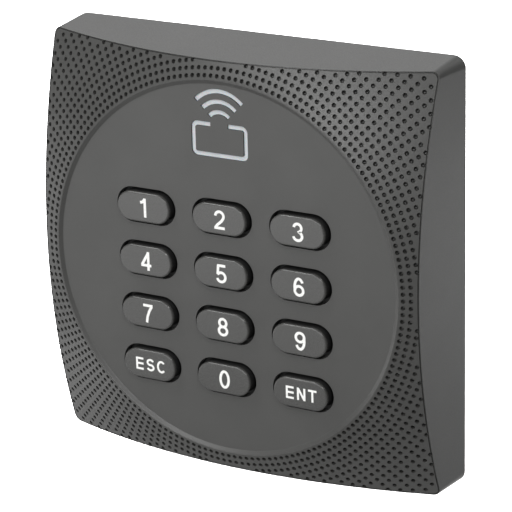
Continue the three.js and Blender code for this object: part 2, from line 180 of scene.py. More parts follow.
def loft(name, sections):
    """A closed solid through outlines of equal length: sections are (outline, depth), back first."""
    points, faces = [], []
    for outline, depth in sections:
        points += [(x, y, depth) for x, y in outline]
    count = len(sections[0][0])
    for level in range(len(sections) - 1):
        low, high = level * count, (level + 1) * count
        for i in range(count):
            j = (i + 1) % count
            faces.append((low + i, low + j, high + j, high + i))
    faces.append(tuple(reversed(range(count))))
    faces.append(tuple(range(len(points) - count, len(points))))
    return add_mesh(name, points, faces)


def prism(name, outline, back, front):
    return loft(name, [(outline, back), (outline, front)])


def turned(name, profile, segments):
    """A solid of revolution from (radius, depth) points, which start and end on the axis."""
    angles = [math.tau * i / segments for i in range(segments)]
    points, rings = [], []
    for radius, depth in profile:
        start = len(points)
        if radius == 0:
            rings.append([start] * segments)
            points.append((0, 0, depth))
        else:
            rings.append(list(range(start, start + segments)))
            points += [(radius * math.cos(a), radius * math.sin(a), depth) for a in angles]
    faces = []
    for low, high in zip(rings, rings[1:]):
        for i in range(segments):
            j = (i + 1) % segments
            corners = [low[i], low[j], high[j], high[i]]
            faces.append(tuple(dict.fromkeys(corners)))
    return add_mesh(name, points, faces)


def arc(x, y, radius, start, end, steps):
    angles = [start + (end - start) * i / steps for i in range(steps + 1)]
    return [(x + radius * math.cos(a), y + radius * math.sin(a)) for a in angles]


def rounded_rect(width, height, radius, steps, centre=(0.0, 0.0)):
    x, y = width / 2 - radius, height / 2 - radius
    quarter = math.pi / 2
    outline = []
    for turn, (sx, sy) in enumerate(SIGNS):
        corner = (centre[0] + sx * x, centre[1] + sy * y)
        outline += arc(*corner, radius, turn * quarter, (turn + 1) * quarter, steps)
    return outline


def stadium(width, height, steps, centre):
    radius = height / 2
    reach = width / 2 - radius
    half = math.pi / 2
    right = arc(centre[0] + reach, centre[1], radius, -half, half, steps)
    left = arc(centre[0] - reach, centre[1], radius, half, 3 * half, steps)
    return right + left


def circle(radius, steps, centre=(0.0, 0.0)):
    return arc(*centre, radius, 0, math.tau, steps)[:-1]


def joined(name, pieces):
    """One object from several that don't touch."""
    points, faces = [], []
    for piece in pieces:
        start = len(points)
        points += [tuple(v.co) for v in piece.data.vertices]
        faces += [tuple(start + v for v in p.vertices) for p in piece.data.polygons]
        bpy.data.objects.remove(piece)
    mesh = bpy.data.meshes.new(name)
    mesh.from_pydata(points, [], faces)
    piece = bpy.data.objects.new(name, mesh)
    bpy.context.scene.collection.objects.link(piece)
    return piece


def combine(piece, tool, operation):
    """Joins, cuts or intersects piece with a tool, which is used up."""
    modifier = piece.modifiers.new(operation.lower(), "BOOLEAN")
    modifier.operation = operation
    modifier.solver = "MANIFOLD"
    modifier.object = tool
    graph = bpy.context.evaluated_depsgraph_get()
    mesh = bpy.data.meshes.new_from_object(piece.evaluated_get(graph))
    piece.modifiers.clear()
    piece.data = mesh
    bpy.data.objects.remove(tool)
    return piece


def cut(piece, *tools):
    for tool in tools:
        combine(piece, tool, "DIFFERENCE")
    return piece


def join(piece, *tools):
    for tool in tools:
        combine(piece, tool, "UNION")
    return piece


def shade(piece, angle=32.0):
    """Smooth faces, with sharp edges where they meet at more than angle degrees."""
    piece.data.shade_smooth()
    piece.data.set_sharp_from_angle(angle=math.radians(angle))
    return piece


def finish_piece(piece, body, slot, material, *nodes):
    piece.data.materials.clear()
    piece.data.materials.append(material)
    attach(piece, body)
    if nodes:
        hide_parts(*nodes)
    return piece


# ---- materials ----------------------------------------------------------------------------------
class Nodes:
    """A material's node tree, with short calls for the nodes that the finishes share."""

    def __init__(self, name, **inputs):
        self.material = bpy.data.materials.new(name)
        self.material.use_nodes = True
        self.tree = self.material.node_tree
        self.shader = self.tree.nodes["Principled BSDF"]
        self.place = self.tree.nodes.new("ShaderNodeTexCoord").outputs["Object"]
        for key, value in inputs.items():
            self.shader.inputs[key.replace("_", " ")].default_value = value

    def add(self, kind, **values):
        node = self.tree.nodes.new(kind)
        for key, value in values.items():
            setattr(node, key, value)
        return node

    def link(self, source, target):
        self.tree.links.new(source, target)

    def noise(self, size_mm, detail=3.0, roughness=0.55):
        node = self.add("ShaderNodeTexNoise")
        node.inputs["Scale"].default_value = 1000.0 / size_mm
        node.inputs["Detail"].default_value = detail
        node.inputs["Roughness"].default_value = roughness
        self.link(self.place, node.inputs["Vector"])
        return node.outputs["Fac"]

    def remap(self, value, low, high, start=0.3, end=0.7):
        node = self.add("ShaderNodeMapRange")
        for key, number in (("From Min", start), ("From Max", end), ("To Min", low), ("To Max", high)):
            node.inputs[key].default_value = number
        self.link(value, node.inputs["Value"])
        return node.outputs["Result"]

    def blend(self, amount, first, second):
        node = self.add("ShaderNodeMix", data_type="RGBA")
        node.inputs["A"].default_value = (*first, 1.0)
        node.inputs["B"].default_value = (*second, 1.0)
        self.link(amount, node.inputs["Factor"])
        return node.outputs["Result"]

    def bump(self, height, strength, distance_mm, below=None):
        node = self.add("ShaderNodeBump")
        node.inputs["Strength"].default_value = strength
        node.inputs["Distance"].default_value = distance_mm * MM
        self.link(height, node.inputs["Height"])
        if below is not None:
            self.link(below, node.inputs["Normal"])
        return node.outputs["Normal"]


def moulded_grain(nodes, colour, roughness, grain_mm=0.32, grain=0.25, drift=0.07):
    """Fine spark-eroded grain and faint flow marks. Gives back the colour, which drifts slightly."""
    dark = tuple(c * (1 - drift) for c in colour)
    light = tuple(c * (1 + drift) for c in colour)
    cloud = nodes.noise(14.0, 4.0)
    speck = nodes.noise(grain_mm, 2.0)
    gloss = nodes.remap(speck, roughness - 0.06, roughness + 0.06)
    nodes.link(gloss, nodes.shader.inputs["Roughness"])
    waves = nodes.bump(cloud, 0.15, 0.05)
    nodes.link(nodes.bump(speck, grain, 0.02, waves), nodes.shader.inputs["Normal"])
    return nodes.blend(nodes.remap(cloud, 0.0, 1.0), dark, light)


def moulded(name, *looks):
    """Moulded plastic or rubber. The looks are those of moulded_grain."""
    nodes = Nodes(name)
    nodes.link(moulded_grain(nodes, *looks), nodes.shader.inputs["Base Color"])
    return nodes.material


def case_with_painted_shadow(name, colour, roughness):
    """The moulded case, with a thin band of painted shadow: its colour turns near black along the rear
    edge, where it meets the wall.
    """
    nodes = Nodes(name)
    tint = moulded_grain(nodes, colour, roughness)
    split = nodes.add("ShaderNodeSeparateXYZ")
    nodes.link(nodes.place, split.inputs["Vector"])
    # painted shadow: over the rear 0.95 to 0.8 mm of depth the colour blends to near black, standing in
    # for the shade where the case meets the wall
    shadow_front, shadow_back = -0.95 * MM, -0.8 * MM
    painted_shadow_mask = nodes.remap(split.outputs["Y"], 0.0, 1.0, shadow_front, shadow_back)
    painted_shadow_mix = nodes.add("ShaderNodeMix", data_type="RGBA")
    # the near-black colour of the painted shadow
    painted_shadow_mix.inputs["B"].default_value = (0.012, 0.012, 0.012, 1.0)
    nodes.link(painted_shadow_mask, painted_shadow_mix.inputs["Factor"])
    nodes.link(tint, painted_shadow_mix.inputs["A"])
    nodes.link(painted_shadow_mix.outputs["Result"], nodes.shader.inputs["Base Color"])
    return nodes.material


def brushed_metal(name, colour, roughness):
    """Plated steel: grain stretched across the reader, cloudy plating and fine scratches."""
    nodes = Nodes(name, Metallic=1.0)
    mapping = nodes.add("ShaderNodeMapping")
    mapping.inputs["Scale"].default_value = (45.0, 900.0, 900.0)
    nodes.link(nodes.place, mapping.inputs["Vector"])
    grain = nodes.add("ShaderNodeTexNoise")
    grain.inputs["Scale"].default_value = 3.0
    grain.inputs["Detail"].default_value = 4.0
    nodes.link(mapping.outputs["Vector"], grain.inputs["Vector"])
    cloud = nodes.noise(9.0, 3.0)
    dark = tuple(c * 0.82 for c in colour)
    tint = nodes.blend(nodes.remap(cloud, 0.0, 1.0), dark, colour)
    nodes.link(tint, nodes.shader.inputs["Base Color"])
    gloss = nodes.remap(grain.outputs["Fac"], roughness - 0.1, roughness + 0.12)
    nodes.link(gloss, nodes.shader.inputs["Roughness"])
    nodes.link(nodes.bump(grain.outputs["Fac"], 0.2, 0.01), nodes.shader.inputs["Normal"])
    return nodes.material


def translucent_guide(name):
    """Frosted acrylic light guide, a pale cool grey."""
    nodes = Nodes(name, Subsurface_Weight=0.25, Subsurface_Scale=0.001, Coat_Weight=0.15)
    cloud = nodes.noise(3.0, 3.0)
    tint = nodes.blend(nodes.remap(cloud, 0.0, 1.0), (0.46, 0.48, 0.50), (0.52, 0.54, 0.56))
    nodes.link(tint, nodes.shader.inputs["Base Color"])
    nodes.link(nodes.remap(nodes.noise(0.2), 0.3, 0.45), nodes.shader.inputs["Roughness"])
    nodes.link(nodes.bump(nodes.noise(0.25), 0.15, 0.01), nodes.shader.inputs["Normal"])
    return nodes.material


def circuit_laminate(name):
    """Green solder mask over faint straight copper runs."""
    nodes = Nodes(name, Coat_Weight=0.3)
    brick = nodes.add("ShaderNodeTexBrick")
    brick.inputs["Scale"].default_value = 160.0
    brick.inputs["Mortar Size"].default_value = 0.03
    brick.inputs["Color1"].default_value = (0.010, 0.085, 0.035, 1)
    brick.inputs["Color2"].default_value = (0.014, 0.100, 0.045, 1)
    brick.inputs["Mortar"].default_value = (0.030, 0.160, 0.070, 1)
    turn = nodes.add("ShaderNodeMapping")
    turn.inputs["Rotation"].default_value = (math.pi / 2, 0, 0)
    nodes.link(nodes.place, turn.inputs["Vector"])
    nodes.link(turn.outputs["Vector"], brick.inputs["Vector"])
    nodes.link(brick.outputs["Color"], nodes.shader.inputs["Base Color"])
    nodes.link(nodes.remap(nodes.noise(1.5), 0.3, 0.42), nodes.shader.inputs["Roughness"])
    nodes.link(nodes.bump(brick.outputs["Fac"], 0.3, 0.03), nodes.shader.inputs["Normal"])
    return nodes.material


def wound_wire(name):
    """Enamelled copper turns, seen as fine rings round the coil."""
    nodes = Nodes(name, Metallic=0.8, Coat_Weight=0.4)
    wave = nodes.add("ShaderNodeTexWave", wave_type="RINGS", rings_direction="SPHERICAL")
    wave.inputs["Scale"].default_value = 1500.0
    wave.inputs["Distortion"].default_value = 0.4
    nodes.link(nodes.place, wave.inputs["Vector"])
    tint = nodes.blend(wave.outputs["Fac"], (0.20, 0.05, 0.015), (0.52, 0.17, 0.06))
    nodes.link(tint, nodes.shader.inputs["Base Color"])
    nodes.link(nodes.remap(wave.outputs["Fac"], 0.45, 0.28, 0, 1), nodes.shader.inputs["Roughness"])
    nodes.link(nodes.bump(wave.outputs["Fac"], 0.5, 0.08), nodes.shader.inputs["Normal"])
    return nodes.material


def printed_ink(name):
    """White pad-printed legend with slightly uneven cover."""
    nodes = Nodes(name)
    cover = nodes.noise(0.5, 4.0)
    tint = nodes.blend(nodes.remap(cover, 0.0, 1.0), (0.72, 0.72, 0.70), (0.86, 0.86, 0.84))
    nodes.link(tint, nodes.shader.inputs["Base Color"])
    nodes.link(nodes.remap(cover, 0.35, 0.5), nodes.shader.inputs["Roughness"])
    nodes.link(nodes.bump(cover, 0.2, 0.01), nodes.shader.inputs["Normal"])
    return nodes.material


def make_materials():
    return {
        # the case material carries a painted shadow along its rear edge
        "case": case_with_painted_shadow("case_plastic", (0.048, 0.048, 0.046), 0.38),
        "cap": moulded("cap_plastic", (0.050, 0.050, 0.048), 0.26, 0.22, 0.12),
        "rear": moulded("rear_plastic", (0.035, 0.036, 0.037), 0.6),
        "rubber": moulded("black_rubber", (0.006, 0.006, 0.006), 0.65, 0.5, 0.3),
        "carbon": moulded("carbon", (0.012, 0.012, 0.012), 0.8, 0.15, 0.4),
        "board": circuit_laminate("board_laminate"),
        "coil": wound_wire("copper_wire"),
        "guide": translucent_guide("light_guide"),
        "led": moulded("led_package", (0.72, 0.70, 0.60), 0.4, 0.2, 0.1),
        "chip": moulded("chip_black", (0.012, 0.012, 0.013), 0.5, 0.1, 0.3),
        "connector": moulded("connector_plastic", (0.12, 0.30, 0.14), 0.45, 0.3, 0.1),
        "steel": brushed_metal("zinc_steel", (0.40, 0.41, 0.43), 0.36),
        "ink": printed_ink("legend_ink"),
    }


# ---- front cover --------------------------------------------------------------------------------
def face_profile(radius):
    """Depth of the front surface: flat disc, sloped band with eased ends, then dome."""
    rim = dome_depth(RIM_RADIUS)
    share = np.clip((radius - DISC_RADIUS) / (RIM_RADIUS - DISC_RADIUS), 0, 1)
    near_end = np.minimum(share, 1 - share)
    ramp = np.where(near_end < BAND_EASE, near_end ** 2 / (2 * BAND_EASE), near_end - BAND_EASE / 2)
    eased = np.where(share < 0.5, ramp, 1 - BAND_EASE - ramp) / (1 - BAND_EASE)
    band = DISC_DEPTH + (rim - DISC_DEPTH) * eased
    return np.where(radius > RIM_RADIUS, dome_depth(radius), band)


def corner_radius(depth, inset=0.0):
    share = depth / BODY_DEPTH
    return max(CORNER_BACK + (CORNER_FRONT - CORNER_BACK) * share - inset, 0.4)


def drafted_section(depth, inset=0.0):
    size = 2 * (HALF_WIDTH - DRAFT * depth - inset)
    return rounded_rect(size, size, corner_radius(depth, inset), 8), depth


def drafted_block(name, inset, back, front):
    return loft(name, [drafted_section(back, inset), drafted_section(front, inset)])


def dome_solid(name, lowered, segments, step):
    """Everything behind the dome, lowered by some depth, down past the wall."""
    blank_radius, blank_back = 88.0, -2
    profile = [(0, blank_back), (blank_radius, blank_back)]
    radius = blank_radius
    while radius > RIM_RADIUS:
        profile.append((radius, dome_depth(radius) - lowered))
        radius -= step
    if lowered:
        flat = DISC_INNER if lowered == SKIN else dome_depth(RIM_RADIUS) - lowered
        flat_radius = math.sqrt((DOME_PEAK - lowered - flat) / DOME_CURVE)
        profile = [p for p in profile if p[0] > flat_radius or p[1] == blank_back]
        profile += [(flat_radius, flat), (0, flat)]
    else:
        band = np.linspace(RIM_RADIUS, DISC_RADIUS, 17)
        profile += [(float(r), float(face_profile(r))) for r in band]
        profile.append((0, DISC_DEPTH))
    return turned(name, profile, segments)


def pit_template(sides):
    """One dimple, pointing up: it reaches out past the surface, with steep walls and a round floor."""
    # share of the radius, and height above the surface
    levels = ((1.06, 0.30), (0.97, -0.30), (0.92, -0.80), (0.72, -1.08), (0.36, -1.21))
    points = []
    faces = [tuple(range(sides))]
    for share, height in levels:
        points += [(x, y, height) for x, y in circle(PIT_RADIUS * share, sides)]
    points.append((0, 0, -PIT_DEPTH))
    for level in range(len(levels) - 1):
        low, high = level * sides, (level + 1) * sides
        for i in range(sides):
            j = (i + 1) % sides
            faces.append((low + j, low + i, high + i, high + j))
    last, tip = (len(levels) - 1) * sides, len(levels) * sides
    faces += [(last + (i + 1) % sides, last + i, tip) for i in range(sides)]
    return np.array(points), faces


def pit_cutter():
    """Every dimple, set square to the dome, on rings whose dimples line up along the radii."""
    template, template_faces = pit_template(14)
    points, faces = [], []
    radius = FIRST_PIT_RING
    while radius < LAST_PIT_RING:
        depth = dome_depth(radius)
        lean = math.atan(2 * DOME_CURVE * radius)
        edge = HALF_WIDTH - DRAFT * depth - PIT_MARGIN
        for i in range(PITS_PER_RING):
            angle = math.tau * i / PITS_PER_RING
            across, up = math.cos(angle), math.sin(angle)
            if max(abs(radius * across), abs(radius * up)) > edge:
                continue
            out = np.array((across * math.sin(lean), up * math.sin(lean), math.cos(lean)))
            side = np.array((-up, across, 0))
            start = len(points)
            moved = template @ np.array((np.cross(side, out), side, out))
            moved += (radius * across, radius * up, depth)
            points += [tuple(p) for p in moved]
            faces += [tuple(start + v for v in f) for f in template_faces]
        radius += PIT_PITCH
    return add_mesh("pits", points, faces)


def symbol_outlines(stroke):
    """A card with its top side open, and three radio waves above it, drawn with one stroke width."""
    slimmer = (SYMBOL_STROKE - stroke) / 2
    half_width = 8.5
    bottom, top = SYMBOL_Y - 9, SYMBOL_Y + 0.5
    gap = 2.6
    radius = 1.8
    quarter = math.pi / 2

    def side(inset):
        """One edge of the card's stroke, from the left end round to the right end."""
        bend = radius - inset
        cx = half_width - inset - bend
        low, high = bottom + radius, top - radius
        path = [(-gap, top - inset)]
        path += arc(-cx, high, bend, quarter, 2 * quarter, 8)
        path += arc(-cx, low, bend, 2 * quarter, 3 * quarter, 8)
        path += arc(cx, low, bend, -quarter, 0, 8)
        path += arc(cx, high, bend, 0, quarter, 8)
        return path + [(gap, top - inset)]

    outlines = [side(slimmer) + side(SYMBOL_STROKE - slimmer)[::-1]]
    spread = math.pi / 4
    for wave in (4.2, 7.0, 9.8):
        centre = (0, SYMBOL_Y - 0.8)
        outer = arc(*centre, wave + stroke / 2, quarter - spread, quarter + spread, 24)
        inner = arc(*centre, wave - stroke / 2, quarter + spread, quarter - spread, 24)
        outlines.append(outer + inner)
    return outlines


def symbol_solids(stroke, back, front):
    return [prism("stroke", outline, back, front) for outline in symbol_outlines(stroke)]


def key_opening_cutter():
    """The stadium openings, with a small chamfer where they meet the disc."""
    width, height = OPENING
    flare = 3 * MOUTH_CHAMFER
    pieces = []
    for _, x, y in key_places():
        straight = stadium(width, height, 20, (x, y))
        flared = stadium(width + flare, height + flare, 20, (x, y))
        pieces.append(loft("opening", (
            (straight, DISC_INNER - 1),
            (straight, DISC_DEPTH - MOUTH_CHAMFER),
            (flared, DISC_DEPTH + MOUTH_CHAMFER / 2),
        )))
    return joined("openings", pieces)


def cover_fittings():
    """What stands inside the cover: screw bosses, board posts, the mat rib and the seal ledge."""
    reach = DISC_INNER + 1
    pieces = []
    for sx, sy in SIGNS:
        boss = circle(BOSS_RADIUS, 32, (sx * BOSS, sy * BOSS))
        pieces.append(prism("boss", boss, BOSS_BACK, reach))
        post = circle(POST_RADIUS, 32, (sx * POST[0], sy * POST[1]))
        pieces.append(prism("post", post, POST_BACK, reach))
    for side in (-1, 1):
        catch = rounded_rect(*CATCH, 0.3, 2, (side * CATCH_PLACE[0], CATCH_PLACE[1]))
        pieces.append(prism("catch", catch, *CATCH_DEPTHS))
    screw_pad = rounded_rect(*SCREW_PAD, 0.3, 2, SCREW_PAD_PLACE)
    pieces.append(prism("screw_pad", screw_pad, *SCREW_PAD_DEPTHS))
    fittings = joined("fittings", pieces)
    rib = prism("rib", rounded_rect(*MAT_RIB_OUTER, 3, 4, MAT_CENTRE), MAT_RIB_BACK, reach)
    rib_inside = rounded_rect(*MAT_RIB_INNER, 2, 4, MAT_CENTRE)
    cut(rib, prism("rib_inside", rib_inside, MAT_RIB_BACK - 1, reach + 1))
    back, front = LEDGE_DEPTHS
    ledge = prism("ledge", rounded_rect(2 * HALF_WIDTH, 2 * HALF_WIDTH, 3, 4), back, front)
    cut(ledge, drafted_block("ledge_inside", WALL + 2.6, back - 1.5, front + 1.5))
    return join(fittings, rib, ledge)


def crease_groove():
    """A thin channel just inside the edge where the dimpled face meets the side walls."""
    lip = 0.06
    groove = drafted_block("groove", lip, 6, BODY_DEPTH + 1)
    cut(groove, drafted_block("groove_inside", CREASE_INSET, 5, BODY_DEPTH + 2))
    return cut(groove, dome_solid("groove_floor", CREASE_DEPTH, 180, 3.0))


def smooth_normals(cover):
    """Gives the disc, band, dome and side walls the normals of their true surfaces."""
    mesh = cover.data
    coords = np.empty(len(mesh.vertices) * 3)
    mesh.vertices.foreach_get("co", coords)
    x, depth, y = coords.reshape(-1, 3).T / MM * np.array(((1,), (-1,), (1,)))
    radius = np.maximum(np.hypot(x, y), 1e-6)
    step = 1e-3
    near = 0.02
    slope = (face_profile(radius + step) - face_profile(radius - step)) / (2 * step)
    on_face = np.abs(depth - face_profile(radius)) < near
    face_normal = np.stack((-slope * x / radius, np.full_like(x, -1.0), -slope * y / radius), 1)

    bend = CORNER_BACK + (CORNER_FRONT - CORNER_BACK) * depth / BODY_DEPTH
    straight = HALF_WIDTH - DRAFT * depth - bend
    turn_x = np.maximum(np.abs(x) - straight, 0)
    turn_y = np.maximum(np.abs(y) - straight, 0)
    length = np.maximum(np.hypot(turn_x, turn_y), 1e-6)
    on_wall = (np.abs(length - bend) < near) & (depth > REAR_EDGE - near / 2)
    wall_normal = np.stack(
        (np.sign(x) * turn_x / length, np.full_like(x, -DRAFT), np.sign(y) * turn_y / length), 1
    )

    normals = np.zeros((len(mesh.loops), 3))
    for flags, surface in ((on_wall, wall_normal), (on_face, face_normal)):
        surface /= np.linalg.norm(surface, axis=1)[:, None]
        for polygon in mesh.polygons:
            corners = list(polygon.vertices)
            if flags[corners].all():
                normals[list(polygon.loop_indices)] = surface[corners]
    mesh.normals_split_custom_set([tuple(n) for n in normals])


def screw_bores():
    """Pilot holes in the bosses and posts."""
    bores = []
    for sx, sy in SIGNS:
        boss_bore = circle(BOSS_BORE_RADIUS, 24, (sx * BOSS, sy * BOSS))
        bores.append(prism("bore", boss_bore, *BOSS_BORE_DEPTHS))
        post_bore = circle(POST_BORE_RADIUS, 16, (sx * POST[0], sy * POST[1]))
        bores.append(prism("bore", post_bore, *POST_BORE_DEPTHS))
    return joined("bores", bores)


def bottom_screw_hole():
    """The stepped hole for the security screw, turned to point up through the bottom wall."""
    hole, head = 1.75, 3
    inner_end, shoulder, outer_end = 50, 56.7, 60
    profile = [(0, inner_end), (hole, inner_end), (hole, shoulder)]
    profile += [(head, shoulder), (head, outer_end), (0, outer_end)]
    cutter = turned("bottom_hole", profile, 32)
    for vertex in cutter.data.vertices:
        x, y, z = vertex.co
        vertex.co = (x, z - SECURITY_SCREW_DEPTH * MM, y)
    cutter.data.flip_normals()
    return cutter


def build_front_cover(materials):
    """The moulding with its hollow, openings, dimples and recessed symbol."""
    rounding = ((0.0, 0.35), (0.1, 0.14), (REAR_EDGE, 0.0), (BODY_DEPTH, 0.0))
    cover = loft("front_cover_shell", [drafted_section(d, inset) for d, inset in rounding])
    combine(cover, dome_solid("dome", 0.0, 360, 1.2), "INTERSECT")
    hollow = drafted_block("hollow", WALL, -1, BODY_DEPTH)
    combine(hollow, dome_solid("inner_dome", SKIN, 96, 4.0), "INTERSECT")
    cut(hollow, cover_fittings())
    cut(cover, hollow, key_opening_cutter())
    strokes = joined("strokes", symbol_solids(SYMBOL_STROKE, DISC_INNER - 1, DISC_DEPTH + 1))
    cut(cover, strokes, screw_bores(), bottom_screw_hole())
    notch = rounded_rect(*PRY_NOTCH, 0.2, 3, PRY_NOTCH_PLACE)
    cut(cover, prism("pry_notch", notch, *PRY_NOTCH_DEPTHS))
    cut(cover, crease_groove(), pit_cutter())
    shade(cover, 28)
    smooth_normals(cover)
    return finish_piece(cover, "reader", "case_plastic", materials["case"], "front_cover")


def build_symbol(materials):
    """The light guide: a plate behind the disc with the strokes of the symbol standing on it."""
    clearance = 0.12
    thickness = 1.2
    front = DISC_INNER - 0.15
    outline = rounded_rect(20.5, 22, 1.5, 6, (0, SYMBOL_Y))
    plate = prism("symbol_guide", outline, front - thickness, front)
    for stroke in symbol_solids(SYMBOL_STROKE - clearance, front - 0.5, DISC_DEPTH - SYMBOL_RECESS):
        join(plate, stroke)
    shade(plate)
    finish_piece(plate, "reader", "light_guide", materials["guide"], "symbol_light_guide")


# ---- keys ---------------------------------------------------------------------------------------
def build_cap(label, x, y, material):
    """A stadium cap with a rounded rim and a flat top."""
    bend = 0.4
    steps = 6

    def outline(inset):
        return stadium(CAP[0] - inset, CAP[1] - inset, 20, (x, y))

    sections = [(outline(0), CAP_FRONT - CAP_THICKNESS), (outline(0), CAP_TOP - bend)]
    for i in range(1, steps + 1):
        angle = math.pi / 2 * i / steps
        inset = 2 * bend * (1 - math.cos(angle))
        sections.append((outline(inset), CAP_TOP - bend + bend * math.sin(angle)))
    sections.append((outline(2 * bend + 0.2), CAP_TOP))
    cap = shade(loft(f"key_top_{label}", sections), 40)
    return finish_piece(cap, f"key_{label}", "cap_plastic", material, f"key_cap_{label}")


def build_plunger(label, x, y, material):
    """The black rubber stem under a cap, with its retaining flange and softened edges."""
    gap = 0.15
    overhang = 1.2
    foot = 20.05
    stem_wide, stem_high = CAP[0] - 2 * gap, CAP[1] - 2 * gap
    wide, high = OPENING[0] + overhang, OPENING[1] + overhang
    flange_front = DISC_INNER - 0.25
    flange_back = flange_front - 1.1
    levels = (
        (stem_wide, stem_high, foot),
        (stem_wide, stem_high, flange_back),
        (wide, high, flange_back),
        (wide, high, flange_front - 0.2),
        (wide - 0.4, high - 0.4, flange_front),
        (stem_wide + 0.4, stem_high + 0.4, flange_front),
        (stem_wide, stem_high, flange_front + 0.25),
        (stem_wide, stem_high, CAP_FRONT - CAP_THICKNESS - gap),
    )
    sections = [(stadium(w, h, 16, (x, y)), depth) for w, h, depth in levels]
    plunger = shade(loft(f"key_stem_{label}", sections), 40)
    return finish_piece(plunger, f"key_{label}", "black_rubber", material, f"key_plunger_{label}")


def swing(x, y, across, up, start, end, steps=18):
    """Points on an ellipse, from one angle to another in degrees."""
    angles = [math.radians(start + (end - start) * i / steps) for i in range(steps + 1)]
    return [(x + across * math.cos(a), y + up * math.sin(a)) for a in angles]


GLYPH_WIDTH = 0.62
DIGIT = {"height": 5.3, "scale": 5.3, "stroke": 0.76, "pitch": 0.0}
LETTER = {"height": 3.5, "scale": 4.1, "stroke": 0.6, "pitch": 3.35}


def glyph_paths(character):
    """Centre lines of a plain sans-serif character, in a box GLYPH_WIDTH wide and 1 high."""
    left, right, low, high, middle = 0.075, 0.545, 0.075, 0.925, 0.31
    bowl = 0.235
    paths = {
        "0": [swing(middle, 0.5, bowl, 0.425, 0, 360, 36)],
        "1": [[(0.10, 0.775), (0.20, 0.79), (0.29, 0.85), (0.36, 0.97)], [(0.37, 0), (0.37, 1)]],
        "2": [
            swing(middle, 0.69, bowl, bowl, 178, -30)
            + [(0.40, 0.42), (0.22, 0.27), (0.12, 0.16), (0.085, low)],
            [(0, low), (0.6, low)],
        ],
        "3": [swing(0.3, 0.715, 0.21, 0.21, 172, -70) + swing(0.305, 0.295, 0.24, 0.22, 72, -172)],
        "4": [[(0.44, 0), (0.44, 1)], [(0.43, 0.92), (0.06, 0.29)], [(0.01, 0.275), (0.61, 0.275)]],
        "5": [
            [(0.11, high), (0.56, high)],
            [(0.15, 0.96), (0.105, 0.46)],
            swing(0.305, 0.32, 0.24, 0.245, 150, -164),
        ],
        "6": [
            swing(middle, 0.31, bowl, bowl, 0, 360, 30),
            swing(middle, 0.5, bowl, 0.425, 205, 32),
        ],
        "7": [[(0.02, high), (0.58, high)], [(0.53, 0.9), (0.37, 0.62), (0.26, 0.32), (0.21, 0)]],
        "8": [
            swing(middle, 0.715, 0.2, 0.21, 0, 360, 30),
            swing(middle, 0.295, bowl, 0.22, 0, 360, 30),
        ],
        "9": [
            swing(middle, 0.69, bowl, bowl, 0, 360, 30),
            swing(middle, 0.5, bowl, 0.425, 25, -148),
        ],
        "E": [[(left, 0), (left, 1)], *([(left, y), (0.58, y)] for y in (low, 0.51, high))],
        "S": [swing(middle, 0.71, 0.225, 0.215, 20, 250) + swing(middle, 0.29, bowl, 0.215, 70, -162)],
        "C": [swing(0.34, 0.5, 0.265, 0.425, 42, 318, 28)],
        "N": [[(left, 0), (left, 1)], [(right, 0), (right, 1)], [(0.08, 0.97), (0.54, 0.03)]],
        "T": [[(0, high), (0.62, high)], [(middle, 0), (middle, 1)]],
    }
    return paths[character]


def ribbon(path, thickness, back, front):
    """A flat strip of constant width along a centre line, which may be a closed loop."""
    path = np.array(path)
    closed = np.allclose(path[0], path[-1])
    if closed:
        path = path[:-1]
        ahead, behind = np.roll(path, -1, 0), np.roll(path, 1, 0)
    else:
        ahead, behind = np.vstack((path[1:], path[-1])), np.vstack((path[0], path[:-1]))
    coming, going = path - behind, ahead - path
    if not closed:
        coming[0], going[-1] = going[0], coming[-1]
    coming /= np.linalg.norm(coming, axis=1)[:, None]
    going /= np.linalg.norm(going, axis=1)[:, None]
    along = coming + going
    along /= np.linalg.norm(along, axis=1)[:, None]
    reach = thickness / 2 / (along * going).sum(1)
    offset = np.stack((along[:, 1], -along[:, 0]), 1) * reach[:, None]
    points, faces = [], []
    for right, left in zip(path + offset, path - offset):
        points += [(*right, back), (*right, front), (*left, front), (*left, back)]
    count = len(path)
    for i in range(count if closed else count - 1):
        here, there = 4 * i, 4 * ((i + 1) % count)
        for a, b in ((0, 1), (1, 2), (2, 3), (3, 0)):
            faces.append((here + a, there + a, there + b, here + b))
    if not closed:
        faces += [(3, 0, 1, 2), tuple(4 * count - 4 + v for v in (0, 3, 2, 1))]
    return add_mesh("ribbon", points, faces)


def build_legend(label, x, y, material):
    """The printed number or word on a key, drawn with one stroke width and set just right of centre."""
    text = label.upper()
    style = LETTER if len(text) > 1 else DIGIT
    scale, height = style["scale"], style["height"]
    legend = None
    for i, character in enumerate(text):
        centre = x + LEGEND_SHIFT + (i - (len(text) - 1) / 2) * style["pitch"]
        left = centre - GLYPH_WIDTH / 2 * scale
        for path in glyph_paths(character):
            placed = [(left + u * scale, y + (v - 0.5) * height) for u, v in path]
            strip = ribbon(placed, style["stroke"], LEGEND_BACK, LEGEND_FRONT)
            legend = join(legend, strip) if legend else strip
    legend.name = f"key_legend_{label}"
    return finish_piece(shade(legend), f"key_{label}", "legend_ink", material)


def build_keys(materials):
    for label, x, y in key_places():
        build_cap(label, x, y, materials["cap"])
        build_plunger(label, x, y, materials["rubber"])
        build_legend(label, x, y, materials["ink"])


# ---- back and inside ----------------------------------------------------------------------------
LARGEST_ROUNDED_FACE = 30.0    # square mm: bigger faces are plain flats
SHARP_EDGE = 35                # degrees


